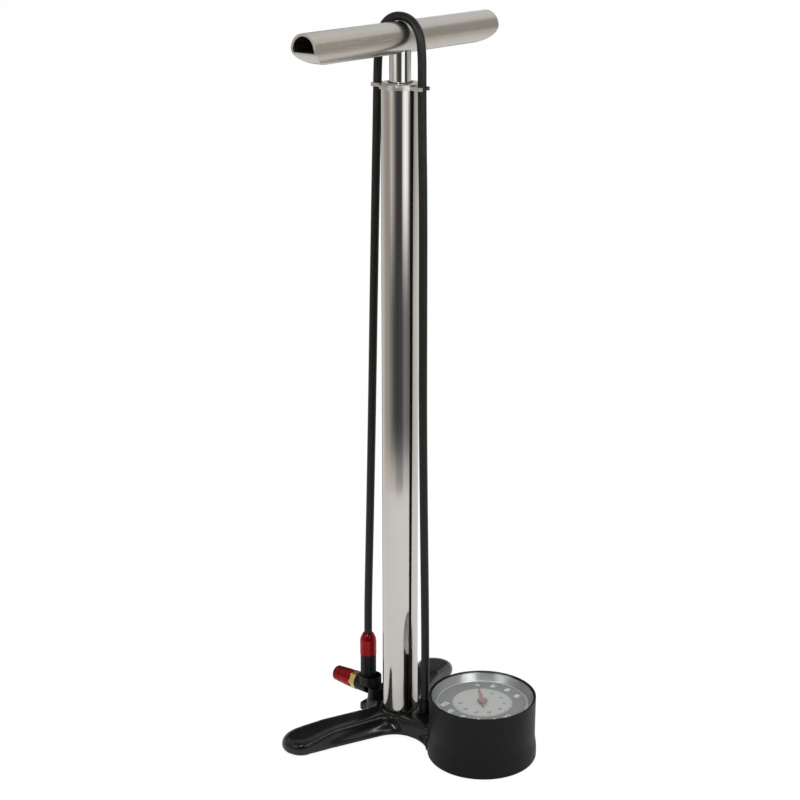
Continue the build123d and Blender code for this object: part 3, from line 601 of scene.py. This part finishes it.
# ---- operators ------------------------------------------------------------------------
class PUMP_OT_base(bpy.types.Operator):
    """Builds the cast base with rounded edges and gloss paint"""

    bl_idname = "pump.base"
    bl_label = "Cast base"

    def execute(self, context):
        sizes = context.scene.pump_base
        source = NODES["base_casting"].data.copy()
        bm = bmesh.new()
        bm.from_mesh(source)
        bmesh.ops.remove_doubles(bm, verts=bm.verts, dist=MERGE)
        bm.to_mesh(source)
        bm.free()
        casting = link("cast_base", source)
        skin = casting.modifiers.new("skin", "REMESH")
        skin.mode = "VOXEL"
        skin.voxel_size = sizes.voxel
        skin.use_smooth_shade = True
        bake(casting)
        self.keep_corners(casting)
        soften = casting.modifiers.new("soften", "SMOOTH")
        soften.factor = 0.5
        soften.iterations = sizes.rounding
        soften.vertex_group = "rounded"
        sweep = casting.modifiers.new("sweep", "SMOOTH")
        sweep.factor = 0.5
        sweep.iterations = sizes.sweep
        sweep.vertex_group = "sides"
        swell = casting.modifiers.new("swell", "DISPLACE")
        swell.strength = sizes.swell
        swell.mid_level = 0.0
        bake(casting)
        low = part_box("base_casting")[0].z
        for vertex in casting.data.vertices:
            vertex.co.z = max(vertex.co.z, low)
        paint = finish(
            "gloss black paint", sizes.paint, 0.0, sizes.gloss, spread=0.03, scale=420.0,
            strength=0.06, distance=0.00006, Specular_IOR_Level=0.4,
        )
        set_material(casting, paint)
        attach(casting, "base")
        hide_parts("base_casting")
        return {"FINISHED"}

    def keep_corners(self, casting):
        """Leaves the dock's lug nearly sharp and rounds the rest."""
        dock = (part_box("dock_post")[0].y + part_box("dock_post")[1].y) / 2
        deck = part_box("base_casting")[1].z
        rounded = casting.vertex_groups.new(name="rounded")
        sides = casting.vertex_groups.new(name="sides")
        for vertex in casting.data.vertices:
            beside = ease(vertex.co.y, dock + LUG_FRONT, dock + LUG_BACK)
            beside *= 1.0 - ease(abs(vertex.co.x), LUG_INNER, LUG_OUTER)
            rounded.add([vertex.index], 1.0 - LUG_SHARP * beside, "REPLACE")
            below = 1.0 - ease(vertex.co.z, deck - SIDE_FULL, deck - SIDE_NONE)
            sides.add([vertex.index], below * (1.0 - beside), "REPLACE")


class PUMP_OT_hose(bpy.types.Operator):
    """Builds the hose that goes up from its port, over the handle and down to the chuck"""

    bl_idname = "pump.hose"
    bl_label = "Hose"

    def execute(self, context):
        sizes = context.scene.pump_hose
        curve = bpy.data.curves.new("hose route", "CURVE")
        curve.dimensions = "3D"
        curve.resolution_u = 12
        spline = curve.splines.new("NURBS")
        spline.points.add(len(ROUTE) - 1)
        for point, (y, z) in zip(spline.points, ROUTE):
            point.co = (0.0, y, z, 1.0)
        spline.order_u = 3
        spline.use_endpoint_u = True
        source = bpy.data.objects.new("hose route", curve)
        context.scene.collection.objects.link(source)
        path = [vertex.co.copy() for vertex in evaluated(source).vertices]
        bpy.data.objects.remove(source)
        hose = self.tube(path, sizes.diameter / 2, sizes.sides)
        rubber = finish(
            "hose rubber", sizes.rubber, 0.0, 0.44, spread=0.07, scale=1500.0,
            strength=0.18, distance=0.00006, vary=0.12, Specular_IOR_Level=0.3,
        )
        set_material(hose, rubber)
        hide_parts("hose")
        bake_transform(hose)
        return {"FINISHED"}

    def tube(self, path, radius, sides):
        """A closed tube along a path in the plane x = 0."""
        bm = bmesh.new()
        rings = []
        for index, point in enumerate(path):
            before = path[max(index - 1, 0)]
            after = path[min(index + 1, len(path) - 1)]
            along = (after - before).normalized()
            side = Vector((1.0, 0.0, 0.0))
            other = along.cross(side)
            ring = []
            for step in range(sides):
                turn = 2 * math.pi * step / sides
                offset = side * math.cos(turn) + other * math.sin(turn)
                ring.append(bm.verts.new(point + offset * radius))
            rings.append(ring)
        for lower, upper in zip(rings, rings[1:]):
            for step in range(sides):
                after = (step + 1) % sides
                bm.faces.new((lower[step], lower[after], upper[after], upper[step]))
        bm.faces.new(rings[0])
        bm.faces.new(rings[-1])
        return from_bmesh("hose_tube", bm)


class PUMP_OT_gauge(bpy.types.Operator):
    """Prints the gauge's dial: pale disc, marks and numbers"""

    bl_idname = "pump.gauge"
    bl_label = "Gauge dial"

    def execute(self, context):
        sizes = context.scene.pump_gauge
        low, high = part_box("gauge_dial")
        centre = ((low.x + high.x) / 2, (low.y + high.y) / 2)
        top = high.z
        ink = finish("dial ink", sizes.ink, 0.0, 0.5)
        white = finish("dial white", sizes.paint, 0.0, 0.5)
        pale = finish("dial pale", sizes.pale, 0.0, 0.5, vary=0.03)
        disc = lathe(
            "dial_disc",
            [(SPINDLE_HOLE, top), (sizes.disc, top), (sizes.disc, top + PRINT),
             (SPINDLE_HOLE, top + PRINT)],
            centre,
        )
        set_material(disc, pale)
        made = [(disc, "dial_grey")]
        thick = sizes.lip_size / 2
        corners = [math.radians(30 * step) for step in range(12)]
        lip = lathe(
            "bezel_lip",
            [(sizes.lip + thick * math.cos(turn), top + thick * (1 + math.sin(turn)))
             for turn in corners],
            centre, smooth=True,
        )
        set_material(lip, finish("bezel lip", (0.62, 0.62, 0.60), 1.0, 0.3, scale=1500.0))
        made.append((lip, "silver_bezel"))

        def numbers(name, values, size, radius, height, material, full):
            """One piece with the numbers that a part of the scale shows."""
            meshes = []
            for value in values:
                turn = sizes.zero - sizes.sweep * value / full
                place = Vector((
                    centre[0] + radius * math.cos(turn),
                    centre[1] + radius * math.sin(turn),
                    height,
                ))
                meshes.append(
                    lettering(name, str(value), size, place, PRINT / 2, sizes.bold)
                )
            piece = joined(name, meshes)
            set_material(piece, material)
            made.append((piece, "dial_grey"))

        red = finish("dial red", sizes.red, 0.0, 0.45)
        outer = list(range(0, sizes.top + 1, sizes.step))
        for name, start, end, material in (
            ("low_numbers", 0, RED_START, white),
            ("red_numbers", RED_START, RED_END, red),
            ("high_numbers", RED_END, len(outer), white),
        ):
            numbers(name, outer[start:end], sizes.outer_size, sizes.outer, top + PRINT,
                    material, sizes.top)
        inner = list(range(0, sizes.inner_top + 1, INNER_STEP))
        numbers("inner_numbers", inner, sizes.inner_size, sizes.inner,
                top + 2 * PRINT, ink, sizes.inner_top)
        tree = tick_tree()
        # name, ink, count, radius, length and width in millimetres, layers of print
        marks = (
            ("outer_marks", white, 2 * (len(outer) - 1) + 1, 38.6, 1.8, 0.5, 1),
            ("outer_fine_marks", white, sizes.top // 2 + 1, 39.0, 0.9, 0.22, 1),
            ("inner_marks", ink, sizes.inner_top + 1, 24.9, 1.9, 0.45, 2),
            ("inner_fine_marks", ink, 5 * sizes.inner_top + 1, 25.3, 1.0, 0.2, 2),
        )
        for name, material, count, radius, long, wide, layers in marks:
            piece = ticks(
                name, tree, material, Count=count, Radius=radius * MM, Length=long * MM,
                Width=wide * MM, Depth=PRINT, Start=sizes.zero, Sweep=-sizes.sweep,
                Height=top + layers * PRINT, Across=centre[1],
            )
            made.append((piece, "dial_grey"))
        for piece, slot in made:
            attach(piece, "base")
        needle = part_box("gauge_needle")[1].z
        boss = lathe(
            "needle_boss",
            [(radius * MM, needle + height * MM) for radius, height in BOSS_PROFILE],
            centre, segments=48,
        )
        set_material(boss, finish("needle cap", sizes.boss, 0.0, 0.4))
        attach(boss, "needle")
        return {"FINISHED"}


class PUMP_OT_finishes(bpy.types.Operator):
    """Gives every piece of the frame its finish"""

    bl_idname = "pump.finishes"
    bl_label = "Finishes"

    def execute(self, context):
        metal = context.scene.pump_metal
        gauge = context.scene.pump_gauge
        upright = (1.0, 1.0, 0.004)
        lengthwise = (0.004, 1.0, 1.0)
        grain = metal.grain
        # each finish: its name, colour, how metallic, how rough, and what is its own
        finishes = {
            "polished_barrel": finish("polished barrel", metal.polish, 1.0, 0.085,
                                      spread=0.02, stretch=upright, scale=2600.0,
                                      strength=grain, distance=0.00002, vary=0.015),
            "rod_chrome": finish("chromed rod", metal.chrome, 1.0, 0.06, spread=0.01,
                                 stretch=upright, scale=2600.0, strength=grain / 2,
                                 distance=0.00002, vary=0.01),
            "handle_aluminium": finish("polished handle", metal.handle, 1.0, 0.24,
                                       spread=0.04, stretch=lengthwise, scale=2600.0,
                                       strength=2 * grain, distance=0.00003, vary=0.02),
            "polished_aluminium": finish("polished cap", metal.polish, 1.0, 0.30,
                                         spread=0.03, scale=1800.0, vary=0.02),
            "plated_steel": finish("plated steel", (0.55, 0.55, 0.54), 1.0, 0.32,
                                   vary=0.08),
            "brass": finish("brass", metal.brass, 1.0, 0.24, spread=0.05, scale=1400.0,
                            strength=0.08, vary=0.05),
            "red_anodised": finish("red anodised", metal.anodised, 0.85, 0.24, spread=0.05,
                                   scale=1200.0, strength=0.06, vary=0.06,
                                   Coat_Weight=0.06, Coat_Roughness=0.06),
            "satin_black": finish("satin black cup", (0.005, 0.005, 0.005), 0.0, 0.45,
                                  spread=0.05, scale=1600.0, strength=0.10,
                                  distance=0.00005, vary=0.08, Specular_IOR_Level=0.15),
            "black_alloy": finish("black alloy", (0.0035, 0.0035, 0.0033), 0.0, 0.36,
                                  spread=0.05, scale=900.0, strength=0.10, vary=0.1,
                                  Specular_IOR_Level=0.20),
            "foot_rubber": finish("foot rubber", (0.022, 0.022, 0.022), 0.0, 0.7,
                                  scale=700.0, strength=0.25, distance=0.00008),
            "seal_rubber": finish("seal rubber", (0.02, 0.02, 0.02), 0.0, 0.55,
                                  scale=700.0, strength=0.15),
            "hose_black": finish("fitting rubber", (0.016, 0.016, 0.017), 0.0, 0.5),
            "acetal": finish("white acetal", (0.75, 0.75, 0.72), 0.0, 0.4),
            "black_acetal": finish("black acetal", (0.03, 0.03, 0.03), 0.0, 0.4),
            "silver_bezel": finish("silver bezel", (0.25, 0.25, 0.245), 1.0, 0.36,
                                   spread=0.05, scale=1500.0, vary=0.03),
            "dial_grey": finish("dial grey", gauge.ring, 0.0, 0.5, vary=0.03),
            "needle_red": finish("needle red", gauge.red, 0.0, 0.4),
            "gloss_black_paint": finish("hidden paint", (0.01, 0.01, 0.01), 0.0, 0.2),
            "lens": glass("gauge glass"),
        }
        for row in frame["record"]["subparts"]:
            set_material(NODES[row["node"]], finishes[row["material_slot"]])
        self.spring(finishes["plated_steel"])
        return {"FINISHED"}

    def spring(self, material):
        """The valve's spring again, as one piece with its points merged, fixed to the base.
        """
        bm = bmesh.new()
        bm.from_mesh(NODES["check_spring"].data)
        bmesh.ops.remove_doubles(bm, verts=bm.verts, dist=SPRING_MERGE)
        spring = from_bmesh("valve_spring", bm)
        set_material(spring, material)
        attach(spring, "base")
        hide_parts("check_spring")
        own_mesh(spring)


class PUMP_OT_studio(bpy.types.Operator):
    """Sets the pale floor, the cards, the lamps and the camera"""

    bl_idname = "pump.studio"
    bl_label = "Studio"

    def execute(self, context):
        studio = context.scene.pump_studio
        self.camera(context, studio)
        self.world(context, studio)
        self.floor(studio)
        self.cards(studio)
        # name, power, size, degrees to the camera's right, height, distance, in reflections
        for name, power, size, azimuth, height, distance, glossy in (
            ("key lamp", studio.key, 0.6, 34.0, 1.5, 1.6, True),
            ("side lamp", studio.side, 0.48, -48.0, 1.3, 1.6, True),
            ("overhead lamp", studio.overhead, 1.3, 160.0, 2.1, 0.6, False),
        ):
            self.lamp(context, name, power, size, azimuth, height, distance, glossy)
        return {"FINISHED"}

    def heading(self, azimuth):
        """The direction in plan that lies so many degrees to the camera's right."""
        turn = math.radians(VIEW_AZIMUTH + 180.0 + azimuth)
        return Vector((math.cos(turn), math.sin(turn), 0.0))

    def camera(self, context, studio):
        """The camera, level from side to side."""
        data = bpy.data.cameras.new("camera")
        data.lens = studio.lens
        data.sensor_width = SENSOR
        data.clip_start = 0.05
        camera = bpy.data.objects.new("camera", data)
        camera.location = CAMERA_PLACE
        camera.rotation_euler = (math.radians(90.0 - VIEW_DOWN), 0.0,
                                 math.radians(VIEW_AZIMUTH - 90.0))
        context.scene.collection.objects.link(camera)
        context.scene.camera = camera

    def world(self, context, studio):
        """White where it is seen or reflected, and a softer light on the pump."""
        world = bpy.data.worlds.new("studio")
        world.use_nodes = True
        tree = world.node_tree
        back = tree.nodes["Background"]
        rays = tree.nodes.new("ShaderNodeLightPath")
        seen = tree.nodes.new("ShaderNodeMath")
        seen.operation = "MAXIMUM"
        tree.links.new(rays.outputs["Is Camera Ray"], seen.inputs[0])
        tree.links.new(rays.outputs["Is Glossy Ray"], seen.inputs[1])
        both = tree.nodes.new("ShaderNodeMath")
        both.operation = "MAXIMUM"
        tree.links.new(seen.outputs[0], both.inputs[0])
        tree.links.new(rays.outputs["Is Transmission Ray"], both.inputs[1])
        level = add(tree, "ShaderNodeMapRange", To_Min=studio.fill, To_Max=1.0)
        tree.links.new(both.outputs[0], level.inputs["Value"])
        tree.links.new(level.outputs["Result"], back.inputs["Strength"])
        back.inputs["Color"].default_value = (1.0, 1.0, 1.0, 1.0)
        context.scene.world = world

    def floor(self, studio):
        """A white floor that keeps a soft shadow and goes to plain white far away."""
        half = studio.floor / 2
        bm = bmesh.new()
        bm.faces.new([bm.verts.new((x * half, y * half, 0.0)) for x, y in
                      ((-1, -1), (1, -1), (1, 1), (-1, 1))])
        floor = from_bmesh("floor", bm, smooth=False)
        material, shader = new_material("floor white")
        tree = material.node_tree
        shader.inputs["Base Color"].default_value = (*[FLOOR_WHITE] * 3, 1.0)
        shader.inputs["Roughness"].default_value = 1.0
        shader.inputs["Specular IOR Level"].default_value = 0.0
        glow = add(tree, "ShaderNodeEmission", Color=(1.0, 1.0, 1.0, 1.0),
                   Strength=FLOOR_GLOW)
        rays = tree.nodes.new("ShaderNodeLightPath")
        mix = tree.nodes.new("ShaderNodeMixShader")
        seen = add(tree, "ShaderNodeMapRange", To_Min=0.0, To_Max=FLOOR_SEEN)
        tree.links.new(rays.outputs["Is Camera Ray"], seen.inputs["Value"])
        tree.links.new(seen.outputs["Result"], mix.inputs["Fac"])
        tree.links.new(shader.outputs["BSDF"], mix.inputs[1])
        tree.links.new(glow.outputs["Emission"], mix.inputs[2])
        surface = tree.nodes["Material Output"].inputs["Surface"]
        tree.links.new(mix.outputs["Shader"], surface)
        floor.data.materials.append(material)

    def cards(self, studio):
        """A drum of pale and dark cards that is seen only in reflections."""
        bm = bmesh.new()
        tones = bm.verts.layers.float_color.new("tone")
        columns = []
        for step in range(CARD_COLUMNS + 1):
            azimuth = 360.0 / CARD_COLUMNS * step - 180.0
            behind = ease(abs(azimuth), NEAR_END, FAR_START)
            distance = studio.near + (studio.far - studio.near) * behind
            out = self.heading(azimuth) * distance
            column = []
            for row in range(CARD_ROWS + 1):
                height = CARD_FOOT + studio.tall * row / CARD_ROWS
                vert = bm.verts.new((out.x, out.y, height))
                vert[tones] = (*card_tone(azimuth, height), 1.0)
                column.append(vert)
            columns.append(column)
        for left, right in zip(columns, columns[1:]):
            for a, b, c, d in zip(left, right, right[1:], left[1:]):
                bm.faces.new((a, b, c, d))
        lid = bm.verts.new((0.0, 0.0, studio.tall))
        lid[tones] = (LID_TONE, LID_TONE, LID_TONE, 1.0)
        for left, right in zip(columns, columns[1:]):
            bm.faces.new((left[-1], right[-1], lid))
        ring = from_bmesh("cards", bm)
        material = bpy.data.materials.new("cards")
        material.use_nodes = True
        tree = material.node_tree
        tree.nodes.remove(tree.nodes["Principled BSDF"])
        tone = tree.nodes.new("ShaderNodeAttribute")
        tone.attribute_name = "tone"
        glow = add(tree, "ShaderNodeEmission", Strength=1.0)
        tree.links.new(tone.outputs["Color"], glow.inputs["Color"])
        tree.links.new(
            glow.outputs["Emission"], tree.nodes["Material Output"].inputs["Surface"]
        )
        ring.data.materials.append(material)
        ring.visible_camera = False
        ring.visible_diffuse = False
        ring.visible_transmission = False
        ring.visible_shadow = False
        ring.visible_volume_scatter = False

    def lamp(self, context, name, power, size, azimuth, height, distance, glossy):
        """A square lamp that points at the pump."""
        data = bpy.data.lights.new(name, "AREA")
        data.energy = power
        data.size = size
        lamp = bpy.data.objects.new(name, data)
        lamp.location = self.heading(azimuth) * distance + Vector((0.0, 0.0, height))
        aim = Vector((0.0, 0.0, LAMP_AIM)) - lamp.location
        lamp.rotation_euler = aim.to_track_quat("-Z", "Y").to_euler()
        lamp.visible_glossy = glossy
        context.scene.collection.objects.link(lamp)


class PUMP_PT_panel(bpy.types.Panel):
    """Lists the pump's pieces in the sidebar"""

    bl_idname = "PUMP_PT_panel"
    bl_label = "Floor pump"
    bl_space_type = "VIEW_3D"
    bl_region_type = "UI"
    bl_category = "Pump"

    def draw(self, context):
        for group, operator in STEPS:
            box = self.layout.box()
            settings = getattr(context.scene, group)
            for name in settings.__annotations__:
                box.prop(settings, name)
            box.operator(operator)


GROUPS = {
    "pump_studio": PumpStudioSettings,
    "pump_hose": PumpHoseSettings,
    "pump_metal": PumpMetalSettings,
    "pump_base": PumpBaseSettings,
    "pump_gauge": PumpGaugeSettings,
}
STEPS = (
    ("pump_studio", "pump.studio"),
    ("pump_metal", "pump.finishes"),
    ("pump_hose", "pump.hose"),
    ("pump_base", "pump.base"),
    ("pump_gauge", "pump.gauge"),
)
CLASSES = (
    *GROUPS.values(), PUMP_OT_studio, PUMP_OT_finishes, PUMP_OT_hose, PUMP_OT_base,
    PUMP_OT_gauge, PUMP_PT_panel,
)


def register():
    """Registers the classes and their settings."""
    for cls in CLASSES:
        bpy.utils.register_class(cls)
    for name, group in GROUPS.items():
        setattr(bpy.types.Scene, name, PointerProperty(type=group))


def unregister():
    """Takes the classes and their settings away again."""
    for name in GROUPS:
        delattr(bpy.types.Scene, name)
    for cls in reversed(CLASSES):
        bpy.utils.unregister_class(cls)


def main():
    """Builds everything."""
    register()
    bpy.context.scene.view_settings.view_transform = "Standard"
    bpy.ops.pump.studio()
    bpy.ops.pump.finishes()
    bpy.ops.pump.hose()
    bpy.ops.pump.base()
    bpy.ops.pump.gauge()


if __name__ == "__main__":
    main()
